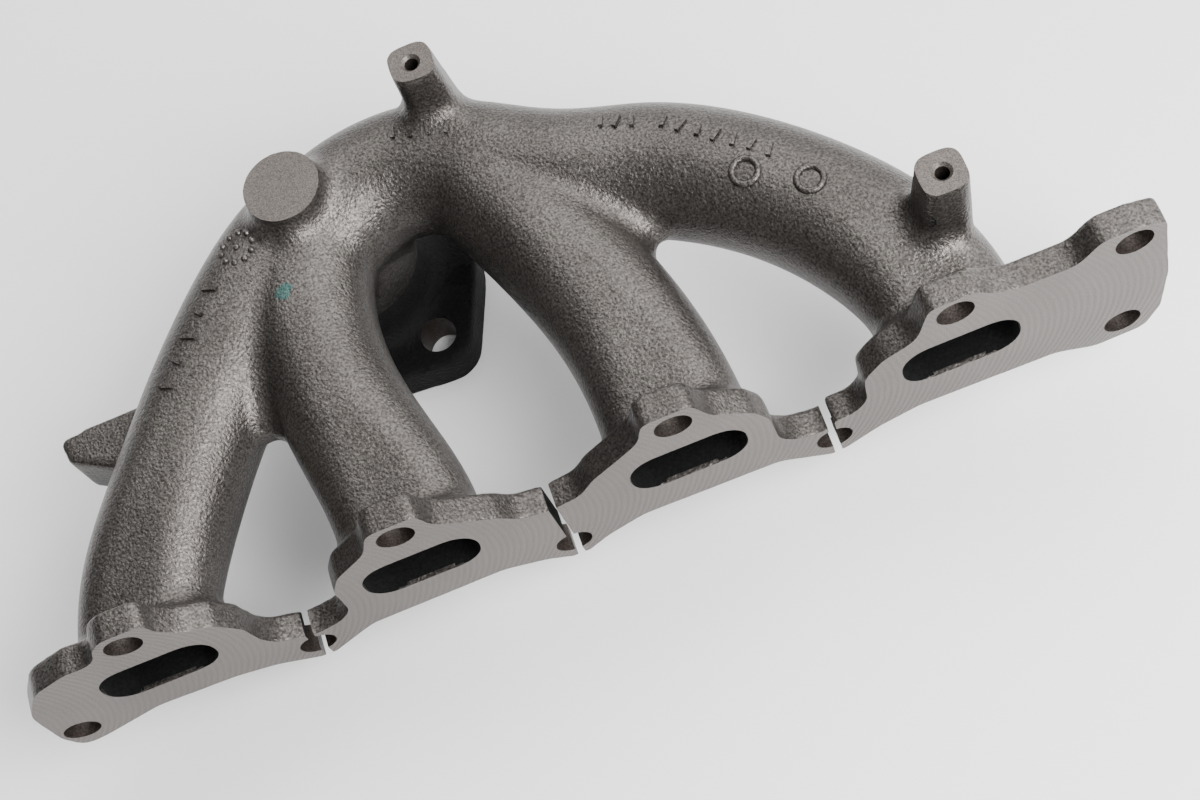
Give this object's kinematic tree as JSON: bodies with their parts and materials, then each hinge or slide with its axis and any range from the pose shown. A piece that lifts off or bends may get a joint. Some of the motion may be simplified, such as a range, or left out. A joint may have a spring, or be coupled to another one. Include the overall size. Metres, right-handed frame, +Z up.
{
  "type": "exhaust manifold",
  "caption": "Cast-iron exhaust manifold that gathers gas runners from a slotted cylinder-head flange into one downward outlet flange.",
  "frame": {"origin": "centre of the machined head face, midway between ports 2 and 3, at the height of the port centres", "axes": "+X along the cylinder head from port 1 to port 4, +Y away from the head into the manifold, +Z up, away from the outlet flange"},
  "size_m": [0.4074, 0.1884, 0.108],
  "materials": {
    "cast_iron": "as-cast sand grain",
    "head_plate_iron": "fly-cut face, as-cast edges",
    "machined_iron": "fine machined",
    "outlet_flange_iron": "as-cast, machined underneath",
    "shaded_iron": "as-cast sand grain"
  },
  "bodies": {
    "root": {"head_flange_1": "head_plate_iron", "head_flange_2": "head_plate_iron", "head_flange_3": "head_plate_iron", "head_flange_4": "head_plate_iron", "runner_1": "cast_iron", "runner_2": "cast_iron", "runner_3": "cast_iron", "runner_4": "cast_iron", "collector": "cast_iron", "collector_bend": "cast_iron", "outlet_neck": "shaded_iron", "outlet_flange": "outlet_flange_iron", "machined_pad": "machined_iron", "shield_post_left": "cast_iron", "shield_post_right": "cast_iron", "support_lug": "cast_iron"}
  },
  "joints": []
}
